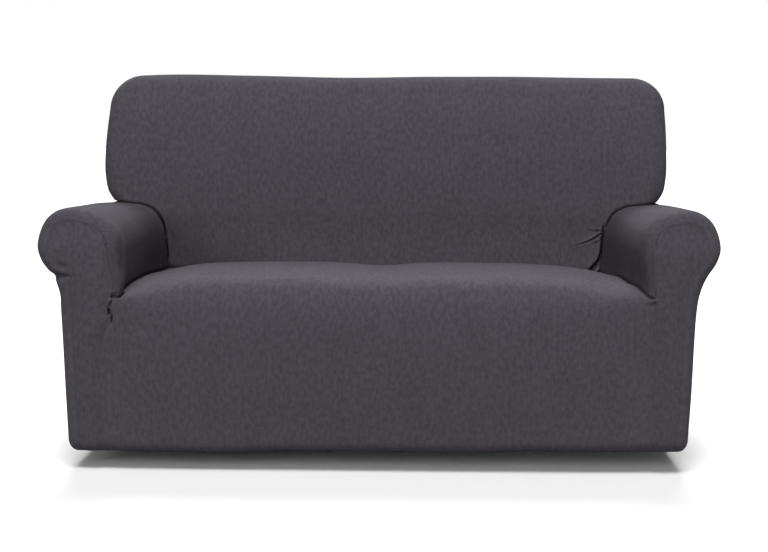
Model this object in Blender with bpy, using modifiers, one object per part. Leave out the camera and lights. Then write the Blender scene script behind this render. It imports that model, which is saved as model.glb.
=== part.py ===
# A stretch-knit slipcover for a two-seat sofa with rolled arms. Its wide back has ears that
# rest on the arms, and one bench seat runs down into a front apron.
# The cover is a hollow shell of seven sewn panels, in the shape it takes drawn over the sofa.
#
# Lengths are metres. The panels are set out in the sofa's own measures: x to the right of its
# middle, y rearward from the fronts of its arms and h above the floor. in_part() then moves the
# origin to the cloth under the top of the back, where the sofa holds the cover up.

import bmesh
import bpy
import numpy as np
from math import cos, exp, pi, radians, sin
from mathutils import Vector

COLLECTION_NAME = "sofa_slipcover"

# Cloth and seams
CLOTH_THICKNESS = 0.002
SEAM_GAP = 0.0003
SEAM_MARGIN = 0.004          # flat cloth between a rounded edge and the seam beside it
WELD_DISTANCE = 0.00002      # joins the points that two grids of one panel share

# Hem, gathered in under the sofa's frame by its elastic
HEM_TOP = 0.080
HEM_DROP = 0.030
HEM_TUCK = 0.021
LEVEL_HEM_REACH = 0.100      # above the hem, edges stay level over this height

# Rounded edges of the stuffing under the cloth
ARM_FRONT_RADIUS = 0.028
REAR_RADIUS = 0.020
ROUNDED_SHARE = 0.8          # part of an edge's steps that go round it, before the flat margin
BACK_EDGE_RADIUS = 0.045
EAR_CORNER_RADIUS = 0.088
FOOT_DRAW_POWER = 4          # how fast the ear's side leaves the line of its foot

# Arms: how far the inner side leans outward at the front, and the seam along the seat
TOE_IN = 0.027
SEAM_RISE = 0.012
SEAM_FRONT_DIP = 0.014
SEAM_DIP_REACH = 0.030
CREST_RISE = 0.022           # the arm's top is this much higher at the front
CREST_POWER = 0.65

# Back
BACK_TOP = 0.955
BACK_HALF_WIDTH = 0.777
REAR_AT_FLOOR = 0.842
REAR_AT_TOP = 0.866
UNEVEN_FROM = 0.720          # height above which the top is uneven
TOP_LEAN = 0.004             # its corners lean to the right by this much
ORIGIN_DEPTH = 0.760

# Seat: the crown falls to the arms by this power, with a dip between the two places
SEAT_FALL_POWER = 5
SEAT_DIP = 0.007
SEAT_DIP_REACH = 0.085

FACING_CROWN = 0.005         # how far the cloth on an arm's front bulges

# Section across the right arm, from the seat seam over the roll and down to the hem
ARM_SECTION = (
    # place,          outward, height
    ("seat seam",      0.598,  0.436),
    ("inner side",     0.602,  0.500),
    ("inner turn",     0.609,  0.545),
    ("inner corner",   0.628,  0.583),
    ("inner top",      0.660,  0.601),
    ("back edge",      0.700,  0.606),
    ("ear side",       0.745,  0.609),
    ("shoulder",       0.783,  0.598),
    ("roll upper",     0.805,  0.575),
    ("roll side",      0.8135, 0.540),
    ("roll lower",     0.803,  0.505),
    ("under roll",     0.782,  0.473),
    ("neck",           0.768,  0.440),
    ("below neck",     0.760,  0.398),
    ("outer side",     0.7555, 0.320),
    ("lower side",     0.7515, 0.190),
    ("hem top",        0.7465, HEM_TOP),
)

# Front face of the back, from the seat up
BACK_FACE = (
    # place,     depth, height
    ("foot",     0.595, 0.436),
    ("lumbar",   0.592, 0.530),
    ("arm top",  0.590, 0.610),
    ("middle",   0.597, 0.720),
    ("upper",    0.612, 0.830),
    ("edge",     0.628, 0.910),
)

# Outer side of the right ear
EAR_SIDE = (
    # place,       outward, height
    ("foot",        0.745,  0.609),
    ("under curl",  0.760,  0.626),
    ("lower",       0.771,  0.650),
    ("widest",      0.777,  0.695),
    ("middle",      0.777,  0.740),
    ("upper",       0.774,  0.805),
    ("corner",      0.769,  0.867),
)

# Middle of the seat, from the back forward and down the apron
SEAT_SECTION = (
    # place,        depth,  height
    ("back seam",    0.595, 0.438),
    ("rear",         0.545, 0.455),
    ("rear crown",   0.430, 0.471),
    ("crown",        0.280, 0.477),
    ("front crown",  0.140, 0.475),
    ("front top",    0.070, 0.468),
    ("front turn",   0.018, 0.450),
    ("apron turn",  -0.010, 0.420),
    ("apron top",   -0.022, 0.378),
    ("apron",       -0.025, 0.300),
    ("apron lower", -0.020, 0.190),
    ("hem top",     -0.010, HEM_TOP),
)

# Rise and fall of the top of the back, from the left ear to the right one
TOP_UNEVENNESS = (
    # place,         x,      rise
    ("left side",   -0.780,  0.001),
    ("left corner", -0.700,  0.004),
    ("left hump",   -0.560,  0.008),
    ("left slope",  -0.370,  0.005),
    ("dip",         -0.130,  0.000),
    ("right rise",   0.160,  0.003),
    ("right crest",  0.410,  0.003),
    ("right slope",  0.600,  0.000),
    ("right side",   0.780, -0.001),
)

# Faces along each stretch of a panel
INNER_STEPS = 5              # up the inner side of an arm
EAR_STEPS = 3                # over the arm to the ear's edge
EDGE_STEPS = 4               # round an edge of the stuffing
SHOULDER_STEPS = 2           # from the ear's side to the arm's shoulder
STEM_STEPS = 6               # down the front of an arm
DECK_STEPS = 7               # along the seat and the arms
BOXING_STEPS = 3             # from the front of the back to its rear
EAR_SIDE_STEPS = 5           # up the side of an ear
CORNER_STEPS = 3             # round half a corner of the back
HEM_STEPS = 3
OUTER_SPACING_POWER = 1.35   # sets the rows closer on the roll than on the flat side below it
REAR_SIDE_REACH = 4          # keeps the shape of the rear panel's shoulder to the shoulder
HALF_SEAT_SHARES = (0.0, 0.17, 0.35, 0.53, 0.69, 0.82, 0.92, 1.0)
CENTRE_SHARE = 0.80          # part of the upper back's foot that lies between the arms
TOP_SHARE = 0.88             # part of the top that is straight

KNIT_ROUGHNESS = 0.92
KNIT_COLOUR = (0.068, 0.062, 0.075, 1.0)


def smooth(value):
    # Eases from 0 to 1 and stays there
    value = min(max(value, 0.0), 1.0)
    return value * value * (3 - 2 * value)


def between(start, end, share):
    return start + (end - start) * share


def even_steps(start, end, count):
    return [between(start, end, step / count) for step in range(count + 1)]


class Section:
    # A smooth curve through the rows of a table, read by its share of length or by height

    def __init__(self, rows, steps=16):
        points = [np.array(row[1:]) for row in rows]
        before = 2 * points[0] - points[1]
        after = 2 * points[-1] - points[-2]
        points = [before] + points + [after]
        curve = []
        for a, b, c, d in zip(points, points[1:], points[2:], points[3:]):
            for step in range(steps):
                t = step / steps
                bend = 2 * a - 5 * b + 4 * c - d
                twist = 3 * b - a - 3 * c + d
                curve.append(0.5 * (2 * b + (c - a) * t + bend * t ** 2 + twist * t ** 3))
        curve.append(points[-2])
        self.curve = np.array(curve)
        lengths = np.linalg.norm(np.diff(self.curve, axis=0), axis=1)
        self.shares = np.concatenate(([0.0], np.cumsum(lengths))) / lengths.sum()
        self.named = {row[0]: self.shares[index * steps] for index, row in enumerate(rows)}

    def at(self, share):
        first = float(np.interp(share, self.shares, self.curve[:, 0]))
        second = float(np.interp(share, self.shares, self.curve[:, 1]))
        return first, second

    def at_height(self, height):
        return float(np.interp(height, self.curve[:, 1], self.curve[:, 0]))

    def rise_at(self, x):
        return float(np.interp(x, self.curve[:, 0], self.curve[:, 1]))

    def inward(self, share):
        # Unit direction to the right of the curve, into the stuffing
        step = 0.004
        x_before, h_before = self.at(max(share - step, 0.0))
        x_after, h_after = self.at(min(share + step, 1.0))
        direction = Vector((h_after - h_before, x_before - x_after))
        return direction.normalized()


arm_section = Section(ARM_SECTION)
back_face = Section(BACK_FACE)
ear_side = Section(EAR_SIDE)
seat_section = Section(SEAT_SECTION)
top_unevenness = Section(TOP_UNEVENNESS)

INNER_CORNER = arm_section.named["inner corner"]
BACK_EDGE = arm_section.named["back edge"]
EAR_FOOT = arm_section.named["ear side"]
SHOULDER = arm_section.named["shoulder"]
ROLL_SIDE = arm_section.named["roll side"]
FRONT_TOP = seat_section.named["front top"]
APRON_TOP = seat_section.named["apron top"]
TOP_EDGE = ear_side.at(1.0)[0] - EAR_CORNER_RADIUS
SIDE_SHARE = EAR_SIDE_STEPS / (EAR_SIDE_STEPS + CORNER_STEPS)
ORIGIN_HEIGHT = BACK_TOP + top_unevenness.rise_at(0.0) - CLOTH_THICKNESS


def face_depth(height):
    return back_face.at_height(height)


def rear_depth(height):
    return between(REAR_AT_FLOOR, REAR_AT_TOP, height / BACK_TOP)


def edge_turn(share, radius):
    # Goes round a quarter turn and a little onto the flat: the run, the inset and the angle
    angle = radians(90) * min(share / ROUNDED_SHARE, 1.0)
    flat = SEAM_MARGIN * max(share - ROUNDED_SHARE, 0.0) / (1 - ROUNDED_SHARE)
    return radius * sin(angle), radius * (1 - cos(angle)) + flat, angle


def in_part(point):
    # Adds the unevenness of the top, and moves the origin under the top of the back
    x, y, h = point
    uneven = smooth((h - UNEVEN_FROM) / (BACK_TOP - UNEVEN_FROM))
    h += uneven * top_unevenness.rise_at(x)
    x += uneven * TOP_LEAN * (x / BACK_HALF_WIDTH) ** 2
    return Vector((x, y - ORIGIN_DEPTH, h - ORIGIN_HEIGHT))


# The right arm's cloth. share runs along its section. station runs rearward: 0 is the seam on
# the front, 1 the end of the rounded front edge, 2 the face of the back or the ear's front
# corner, 3 the start of the rounded rear edge and 4 the seam on the rear.

def arm_turn(station):
    # Inset and plan angle of the cloth where it goes round the front or rear edge
    if station < 1:
        run, inset, angle = edge_turn(1 - station, ARM_FRONT_RADIUS)
        return inset, angle
    if station > 3:
        run, inset, angle = edge_turn(station - 3, REAR_RADIUS)
        return inset, -angle
    return 0.0, 0.0


def arm_end_depth(share):
    # Depth at which the arm's cloth meets the back, which the ear's front corner rounds off
    if share <= BACK_EDGE:
        return face_depth(arm_section.at(share)[1])
    round_edge = min((share - BACK_EDGE) / (EAR_FOOT - BACK_EDGE), 1.0)
    edge_depth = face_depth(arm_section.at(BACK_EDGE)[1])
    return edge_depth + BACK_EDGE_RADIUS * (1 - (1 - round_edge ** 2) ** 0.5)


def arm_depth(share, height, station):
    if station < 1:
        run, inset, angle = edge_turn(1 - station, ARM_FRONT_RADIUS)
        return ARM_FRONT_RADIUS - run
    if station <= 2:
        return between(ARM_FRONT_RADIUS, arm_end_depth(share), station - 1)
    rear_edge = rear_depth(height) - REAR_RADIUS
    if station <= 3:
        return between(arm_end_depth(share), rear_edge, station - 2)
    return rear_edge + edge_turn(station - 3, REAR_RADIUS)[0]


def arm_crest(share):
    # Rises from the inner corner and falls again to the side of the roll
    rising = smooth((share - INNER_CORNER) / (BACK_EDGE - INNER_CORNER))
    return rising * (1 - smooth((share - EAR_FOOT) / (ROLL_SIDE - EAR_FOOT)))


def arm_cloth(share, station):
    x, h = arm_section.at(share)
    inset, angle = arm_turn(station)
    inward = arm_section.inward(share)
    level = smooth((h - HEM_TOP) / LEVEL_HEM_REACH)
    if station > 3:
        valley = max(1 - (share - EAR_FOOT) / (SHOULDER - EAR_FOOT), 0.0)
        x -= inset * valley ** 2
    y = arm_depth(share, h + inset * inward.y * level, station)
    forward = max(1 - y / face_depth(h), 0.0)
    x += inset * inward.x + TOE_IN * forward * (1 - smooth(share / BACK_EDGE))
    rise = SEAM_RISE * sin(pi * forward) - SEAM_FRONT_DIP * exp(-y / SEAM_DIP_REACH)
    h += inset * inward.y * level + rise * (1 - smooth(share / INNER_CORNER))
    h += CREST_RISE * forward ** CREST_POWER * arm_crest(share)
    return Vector((x, y, h))


def arm_hem(station, tuck):
    # The arm's hem, from 0 at its top to 1 at its inner edge
    top = arm_cloth(1.0, station)
    angle = arm_turn(station)[1]
    inward = Vector((-cos(angle), sin(angle), 0.0))
    return hem_point(top, inward, tuck)


def hem_point(top, inward, tuck):
    angle = radians(90) * tuck
    point = top + inward * HEM_TUCK * (1 - cos(angle))
    point.z = HEM_TOP - HEM_DROP * sin(angle)
    return point


# The seat's cloth. u runs from -1 at the left arm to 1 at the right one. row runs forward: 0 is
# the seam at the back, 1 the start of the rounded front, 2 the top of the apron, 3 its hem.

def seat_side(row):
    # Seam of the seat along the right arm and down the front of it
    if row <= 2:
        return arm_cloth(0.0, 2 - row)
    corner = arm_cloth(0.0, 0.0)
    return Vector((corner.x, corner.y, between(corner.z, HEM_TOP, row - 2)))


def seat_middle(row):
    stations = (0.0, FRONT_TOP, APRON_TOP, 1.0)
    return seat_section.at(float(np.interp(row, (0, 1, 2, 3), stations)))


def seat_cloth(u, row):
    side = seat_side(row)
    depth, height = seat_middle(row)
    fall = abs(u) ** SEAT_FALL_POWER
    x = u * side.x
    dip = SEAT_DIP * exp(-(x / SEAT_DIP_REACH) ** 2) * smooth(row) * (1 - smooth((row - 1) / 1.5))
    return Vector((x, between(depth, side.y, fall), between(height - dip, side.z, fall)))


def seat_hem(u, tuck):
    return hem_point(seat_cloth(u, 3.0), Vector((0.0, 1.0, 0.0)), tuck)


# The back's cloth. up runs from 0 at the ear's foot to 1 at the middle of the corner, and
# along from -1 to 1 between the middles of both corners. course goes over the edge: 0 is the
# face's edge, 1 the outside, 2 the start of the rounded rear edge and 3 the seam on the rear.

def back_outset(course):
    if course <= 1:
        return BACK_EDGE_RADIUS * sin(radians(90) * course)
    if course <= 2:
        return BACK_EDGE_RADIUS
    return BACK_EDGE_RADIUS - edge_turn(course - 2, REAR_RADIUS)[1]


def back_depth(edge_height, height, course):
    # edge_height is where this part of the cloth leaves the face
    front = face_depth(edge_height)
    if course <= 1:
        return front + BACK_EDGE_RADIUS * (1 - cos(radians(90) * course))
    rear_edge = rear_depth(height) - REAR_RADIUS
    if course <= 2:
        return between(front + BACK_EDGE_RADIUS, rear_edge, course - 1)
    return rear_edge + edge_turn(course - 2, REAR_RADIUS)[0]


def corner_point(angle, course):
    # Round a top corner, from 0 at its side to a right angle at the top
    face_radius = EAR_CORNER_RADIUS - BACK_EDGE_RADIUS
    radius = face_radius + back_outset(course)
    centre_height = BACK_TOP - EAR_CORNER_RADIUS
    x = TOP_EDGE + radius * cos(angle)
    h = centre_height + radius * sin(angle)
    edge_height = centre_height + face_radius * sin(angle)
    return Vector((x, back_depth(edge_height, h, course), h))


def ear_foot(course):
    # Seam where the ear rests on the arm
    if course <= 1:
        return arm_cloth(between(BACK_EDGE, EAR_FOOT, sin(radians(90) * course)), 2.0)
    return arm_cloth(EAR_FOOT, 1 + course)


def ear_cloth(up, course):
    # Right side of the back, whose foot is drawn to the seam
    if up > SIDE_SHARE:
        turned = (up - SIDE_SHARE) / (1 - SIDE_SHARE)
        return corner_point(radians(45) * turned, course)
    x, h = ear_side.at(up / SIDE_SHARE)
    foot = ear_foot(course)
    foot_x, foot_h = ear_side.at(0.0)
    outset = back_outset(course) - BACK_EDGE_RADIUS
    drawn = (1 - up / SIDE_SHARE) ** FOOT_DRAW_POWER
    edge_height = h + (ear_foot(0.0).z - foot_h) * drawn
    x += outset + (foot.x - foot_x - outset) * drawn
    h += (foot.z - foot_h) * drawn
    return Vector((x, back_depth(edge_height, h, course), h))


def top_cloth(along, course):
    share = abs(along)
    if share > TOP_SHARE:
        turned = (share - TOP_SHARE) / (1 - TOP_SHARE)
        point = corner_point(radians(90) - radians(45) * turned, course)
    else:
        edge_height = BACK_TOP - BACK_EDGE_RADIUS
        h = edge_height + back_outset(course)
        x = TOP_EDGE * share / TOP_SHARE
        point = Vector((x, back_depth(edge_height, h, course), h))
    if along < 0:
        point.x = -point.x
    return point


def mirrored(point):
    return Vector((-point.x, point.y, point.z))


def stretched_over(left, right, bottom, top, u, v, reach=1):
    # Point of a sheet whose four edges are given, u and v from 0 to 1. The shapes of the bottom
    # and top edges die away into the sheet, sooner with a higher power for their reach.
    point = between(left(v), right(v), u)
    point += (bottom(u) - between(left(0.0), right(0.0), u)) * (1 - v) ** reach
    point += (top(u) - between(left(1.0), right(1.0), u)) * v ** reach
    return point


# Shares along the arm's section where neighbouring panels share their points
def arm_shares():
    inner = even_steps(0.0, INNER_CORNER, INNER_STEPS)
    over = even_steps(INNER_CORNER, BACK_EDGE, EAR_STEPS)
    turns = even_steps(0.0, radians(90), EDGE_STEPS)
    foot = [between(BACK_EDGE, EAR_FOOT, sin(turn)) for turn in turns]
    shoulder = even_steps(EAR_FOOT, SHOULDER, SHOULDER_STEPS)
    return inner, over, foot, shoulder, outer_shares()


def outer_shares():
    steps = even_steps(0.0, 1.0, STEM_STEPS + INNER_STEPS)
    return [between(SHOULDER, 1.0, step ** OUTER_SPACING_POWER) for step in steps]


def add_patch(sheet, place, across, along):
    # A grid whose points are moved onto the cloth
    columns = len(across) - 1
    rows = len(along) - 1
    grid = bmesh.ops.create_grid(sheet, x_segments=columns, y_segments=rows, size=0.5)
    for vert in grid["verts"]:
        column = round((vert.co.x + 0.5) * columns)
        row = round((vert.co.y + 0.5) * rows)
        vert.co = place(across[column], along[row])


def draw_back_edges(sheet):
    # Each sheet ends half a seam's gap short of its seams
    inward = {}
    for edge in sheet.edges:
        if not edge.is_boundary:
            continue
        face = edge.link_faces[0]
        start, end = edge.verts
        across = face.normal.cross(end.co - start.co).normalized()
        middle = (start.co + end.co) / 2
        if across.dot(face.calc_center_median() - middle) < 0:
            across.negate()
        inward.setdefault(start, []).append(across)
        inward.setdefault(end, []).append(across)
    for vert, (first, second) in inward.items():
        vert.co += (first + second) * SEAM_GAP / 2 / (1 + first.dot(second))


def face_outward(sheet, inside):
    # Turns every face away from a point inside the cover
    bmesh.ops.recalc_face_normals(sheet, faces=sheet.faces)
    away = 0.0
    for face in sheet.faces:
        away += face.calc_area() * face.normal.dot(face.calc_center_median() - inside)
    if away < 0:
        bmesh.ops.reverse_faces(sheet, faces=sheet.faces)


def add_panel(name, patches, inside):
    sheet = bmesh.new()
    for place, across, along in patches:
        add_patch(sheet, place, across, along)
    bmesh.ops.remove_doubles(sheet, verts=sheet.verts, dist=WELD_DISTANCE)
    for vert in sheet.verts:
        vert.co = in_part(vert.co)
    face_outward(sheet, in_part(inside))
    draw_back_edges(sheet)
    mesh = bpy.data.meshes.new(name)
    sheet.to_mesh(mesh)
    sheet.free()
    mesh.shade_smooth()
    panel = bpy.data.objects.new(name, mesh)
    mesh.materials.append(knit_material(name + "_knit"))
    cloth = panel.modifiers.new("Cloth", "SOLIDIFY")
    cloth.thickness = CLOTH_THICKNESS
    cloth.offset = -1.0
    cloth.use_even_offset = True
    bpy.data.collections[COLLECTION_NAME].objects.link(panel)
    return panel


def knit_material(name):
    material = bpy.data.materials.new(name)
    material.use_nodes = True
    shader = material.node_tree.nodes["Principled BSDF"]
    shader.inputs["Base Color"].default_value = KNIT_COLOUR
    shader.inputs["Roughness"].default_value = KNIT_ROUGHNESS
    shader.inputs["Metallic"].default_value = 0.0
    return material


def seat_shares():
    half = list(HALF_SEAT_SHARES)
    return [-share for share in reversed(half[1:])] + half


def add_seat():
    rows = even_steps(0.0, 1.0, DECK_STEPS)
    rows += even_steps(1.0, 2.0, EDGE_STEPS + 1)[1:]
    rows += even_steps(2.0, 3.0, STEM_STEPS)[1:]
    tucks = even_steps(0.0, 1.0, HEM_STEPS)
    patches = ((seat_cloth, seat_shares(), rows), (seat_hem, seat_shares(), tucks))
    add_panel("seat_panel", patches, Vector((0.0, 0.3, 0.2)))


def on_side(place, side):
    if side > 0:
        return place
    return lambda u, v: mirrored(place(u, v))


def add_arm(name, side):
    inner, over, foot, shoulder, outer = arm_shares()
    front = even_steps(0.0, 1.0, EDGE_STEPS + 1)
    front += even_steps(1.0, 2.0, DECK_STEPS)[1:]
    rear = even_steps(2.0, 3.0, BOXING_STEPS) + even_steps(3.0, 4.0, EDGE_STEPS + 1)[1:]
    beside_ear = inner + over[1:] + foot[1:]
    patches = (
        (on_side(arm_cloth, side), beside_ear, front),
        (on_side(arm_cloth, side), shoulder + outer[1:], front + rear[1:]),
        (on_side(arm_hem, side), front + rear[1:], even_steps(0.0, 1.0, HEM_STEPS)),
    )
    add_panel(name, patches, Vector((side * 0.70, 0.3, 0.35)))


def facing_inner(v):
    # Inner edge of the arm's front, up the apron seam and then the arm's inner side
    stem_share = STEM_STEPS / (STEM_STEPS + INNER_STEPS)
    if v < stem_share:
        return seat_side(3.0 - v / stem_share)
    return arm_cloth(INNER_CORNER * (v - stem_share) / (1 - stem_share), 0.0)


def facing_outer(v):
    shares = outer_shares()
    steps = even_steps(0.0, 1.0, len(shares) - 1)
    return arm_cloth(float(np.interp(1 - v, steps, shares)), 0.0)


def facing_top(u):
    shares = facing_top_shares()
    steps = even_steps(0.0, 1.0, len(shares) - 1)
    return arm_cloth(float(np.interp(u, steps, shares)), 0.0)


def facing_top_shares():
    inner, over, foot, shoulder, outer = arm_shares()
    return over + foot[1:] + shoulder[1:]


def facing_bottom(u):
    return between(facing_inner(0.0), facing_outer(0.0), u)


def facing_cloth(u, v):
    point = stretched_over(facing_inner, facing_outer, facing_bottom, facing_top, u, v)
    point.y -= FACING_CROWN * sin(pi * u) * (1 - v ** 4)
    return point


def facing_hem(u, tuck):
    return hem_point(facing_cloth(u, 0.0), Vector((0.0, 1.0, 0.0)), tuck)


def add_facing(name, side):
    across = even_steps(0.0, 1.0, len(facing_top_shares()) - 1)
    upward = even_steps(0.0, 1.0, STEM_STEPS + INNER_STEPS)
    patches = (
        (on_side(facing_cloth, side), across, upward),
        (on_side(facing_hem, side), across, even_steps(0.0, 1.0, HEM_STEPS)),
    )
    add_panel(name, patches, Vector((side * 0.69, 0.2, 0.3)))


def lower_side(v):
    return arm_cloth(INNER_CORNER * v, 2.0)


def lower_back(u, v):
    # Between the arms, u from -1 to 1
    crest = arm_cloth(INNER_CORNER, 2.0)

    def level(share):
        return Vector((crest.x * (2 * share - 1), crest.y, crest.z))

    def seat_seam(share):
        return seat_cloth(2 * share - 1, 0.0)

    def left(share):
        return mirrored(lower_side(share))

    return stretched_over(left, lower_side, seat_seam, level, (u + 1) / 2, v)


def upper_foot(along):
    # Foot of the upper back, over the arm's inner corner and onto its top
    share = abs(along)
    crest = arm_cloth(INNER_CORNER, 2.0)
    if share < CENTRE_SHARE:
        point = Vector((crest.x * share / CENTRE_SHARE, crest.y, crest.z))
    else:
        over = (share - CENTRE_SHARE) / (1 - CENTRE_SHARE)
        point = arm_cloth(between(INNER_CORNER, BACK_EDGE, over), 2.0)
    if along < 0:
        point.x = -point.x
    return point


def upper_back(along, v):
    def left(share):
        return mirrored(ear_cloth(share, 0.0))

    def right(share):
        return ear_cloth(share, 0.0)

    def foot(share):
        return upper_foot(2 * share - 1)

    def top(share):
        return top_cloth(2 * share - 1, 0.0)

    return stretched_over(left, right, foot, top, (along + 1) / 2, v)


def along_shares():
    centre = [CENTRE_SHARE * share for share in seat_shares()]
    ear = even_steps(CENTRE_SHARE, 1.0, EAR_STEPS)[1:]
    return [-share for share in reversed(ear)] + centre + ear


def add_back():
    along = along_shares()
    upward = even_steps(0.0, 1.0, EAR_SIDE_STEPS + CORNER_STEPS)
    courses = even_steps(0.0, 1.0, EDGE_STEPS)
    courses += even_steps(1.0, 2.0, BOXING_STEPS)[1:]
    courses += even_steps(2.0, 3.0, EDGE_STEPS + 1)[1:]
    patches = (
        (lower_back, seat_shares(), even_steps(0.0, 1.0, INNER_STEPS)),
        (upper_back, along, upward),
        (on_side(ear_cloth, 1), upward, courses),
        (on_side(ear_cloth, -1), upward, courses),
        (top_cloth, along, courses),
    )
    add_panel("back_panel", patches, Vector((0.0, 0.74, 0.7)))


def rear_side(v):
    # Seam of the rear panel on the arm's outer side, upward from the hem to the shoulder
    shares = outer_shares()
    steps = even_steps(0.0, 1.0, len(shares) - 1)
    return arm_cloth(float(np.interp(1 - v, steps, shares)), 4.0)


def rear_inner(v):
    # Line down the rear from the ear's foot, its points about level with those of the seam
    top = ear_foot(3.0)
    rise = (rear_side(v).z - HEM_TOP) / (rear_side(1.0).z - HEM_TOP)
    height = between(HEM_TOP, top.z, rise)
    return Vector((top.x, rear_depth(height), height))


def rear_lobe(u, v):
    def bottom(share):
        return between(rear_inner(0.0), rear_side(0.0), share)

    def top(share):
        return arm_cloth(between(EAR_FOOT, SHOULDER, share), 4.0)

    return stretched_over(rear_inner, rear_side, bottom, top, u, v, REAR_SIDE_REACH)


def rear_lower(along, v):
    return between(mirrored(rear_inner(v)), rear_inner(v), (along + 1) / 2)


def rear_upper(along, v):
    def left(share):
        return mirrored(ear_cloth(share, 3.0))

    def right(share):
        return ear_cloth(share, 3.0)

    def foot(share):
        return rear_lower(2 * share - 1, 1.0)

    def top(share):
        return top_cloth(2 * share - 1, 3.0)

    return stretched_over(left, right, foot, top, (along + 1) / 2, v)


def rear_hem(along, tuck):
    return hem_point(rear_lower(along, 0.0), Vector((0.0, -1.0, 0.0)), tuck)


def lobe_hem(u, tuck):
    return hem_point(rear_lobe(u, 0.0), Vector((0.0, -1.0, 0.0)), tuck)


def add_rear():
    along = along_shares()
    across = even_steps(0.0, 1.0, SHOULDER_STEPS)
    lower = even_steps(0.0, 1.0, STEM_STEPS + INNER_STEPS)
    upper = even_steps(0.0, 1.0, EAR_SIDE_STEPS + CORNER_STEPS)
    tucks = even_steps(0.0, 1.0, HEM_STEPS)
    patches = [(rear_lower, along, lower), (rear_upper, along, upper), (rear_hem, along, tucks)]
    for side in (1, -1):
        patches.append((on_side(rear_lobe, side), across, lower))
        patches.append((on_side(lobe_hem, side), across, tucks))
    add_panel("rear_panel", patches, Vector((0.0, 0.7, 0.4)))


def clear_scene():
    for old in list(bpy.data.objects):
        bpy.data.objects.remove(old, do_unlink=True)


def main():
    clear_scene()
    cover = bpy.data.collections.new(COLLECTION_NAME)
    bpy.context.scene.collection.children.link(cover)
    add_back()
    add_seat()
    add_arm("arm_panel_right", 1)
    add_arm("arm_panel_left", -1)
    add_facing("facing_right", 1)
    add_facing("facing_left", -1)
    add_rear()


main()
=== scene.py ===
from math import pi, radians, sin, cos

import bmesh
import bpy
import numpy as np
from mathutils import Matrix, Vector, bvhtree, kdtree, noise


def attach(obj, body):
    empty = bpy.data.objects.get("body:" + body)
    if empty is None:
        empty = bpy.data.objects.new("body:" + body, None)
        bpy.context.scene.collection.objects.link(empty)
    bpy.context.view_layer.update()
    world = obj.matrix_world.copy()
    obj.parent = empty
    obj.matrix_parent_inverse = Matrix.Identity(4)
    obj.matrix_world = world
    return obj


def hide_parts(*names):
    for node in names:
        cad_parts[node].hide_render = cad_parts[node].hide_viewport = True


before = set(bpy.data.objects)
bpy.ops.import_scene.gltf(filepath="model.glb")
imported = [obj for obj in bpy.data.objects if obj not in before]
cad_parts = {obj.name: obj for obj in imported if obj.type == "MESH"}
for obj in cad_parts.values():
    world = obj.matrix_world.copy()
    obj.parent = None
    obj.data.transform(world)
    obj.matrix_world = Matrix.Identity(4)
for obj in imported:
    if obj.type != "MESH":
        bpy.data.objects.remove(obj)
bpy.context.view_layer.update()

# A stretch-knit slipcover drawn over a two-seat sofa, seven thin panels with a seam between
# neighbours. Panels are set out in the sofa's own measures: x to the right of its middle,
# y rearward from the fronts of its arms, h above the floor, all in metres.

cloth = {
    "thickness": 0.002,
    "gap": 0.00004,          # between two panels along their seam
    "facingGap": -0.0004,    # a facing's edge reaches under its neighbours
    "facingUnder": 0.00003,
    "pitch": 0.0068,         # spacing of a sheet's points
    "edgePitch": 0.004,      # and on its tightly rounded edges
    "weld": 0.00002,
    "nearSeam": (0.0, 0.0013, 0.0027, 0.0045, 0.0068, 0.0100),
    "allowanceRise": 0.12,   # the turned-in edges lift the cloth beside a seam, by this share
    "allowanceAt": 0.0085,
    "allowanceWidth": 0.0038,
    "seamStep": 0.002,       # spacing of the points that find a seam's neighbour
    "hemMargin": 0.0015,     # edges no higher than this over the fold are the hem's
    "seamBlend": 0.020,      # a seam's depth changes over this distance
    "waviness": 0.0007,      # slight unevenness of the stretched cloth
    "wavesPerMetre": 5.5,
    "wavesSeed": 1,
}

hem = {
    "top": 0.080,
    "drop": 0.030,
    "tuck": 0.021,
    "levelReach": 0.100,     # edges stay level over this height above the hem
    "steps": 8,
    "flatLength": 0.040,     # of the turned cloth
    "gatherDepth": 0.0007,   # the elastic draws small gathers
    "gatherPitch": 0.017,
    "gatherReach": 0.020,
    "gatherShare": 0.6,      # of the drop, below which they are full
}

# How a crease is made, mostly in widths of the crease itself
creasing = {
    "linePoints": 16,        # between two of its places
    "besideReach": 0.010,    # sheets this close move along with it
    "finestEdge": 0.6,
    "splits": 4,             # at most
    "splitReach": 2.6,
    "moveReach": 4,
    "lipAt": 1.9,
    "lipWidth": 0.8,
}

roundedEdges = {
    "armFront": 0.028,
    "armFrontInside": 0.110,  # reaches further rearward on the side beside the seat
    "rear": 0.020,
    "backFace": 0.045,
    "earCorner": 0.088,
    "roundedShare": 0.8,     # part of an edge that is round, before its flat margin
    "flatMargin": 0.004,
}

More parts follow.
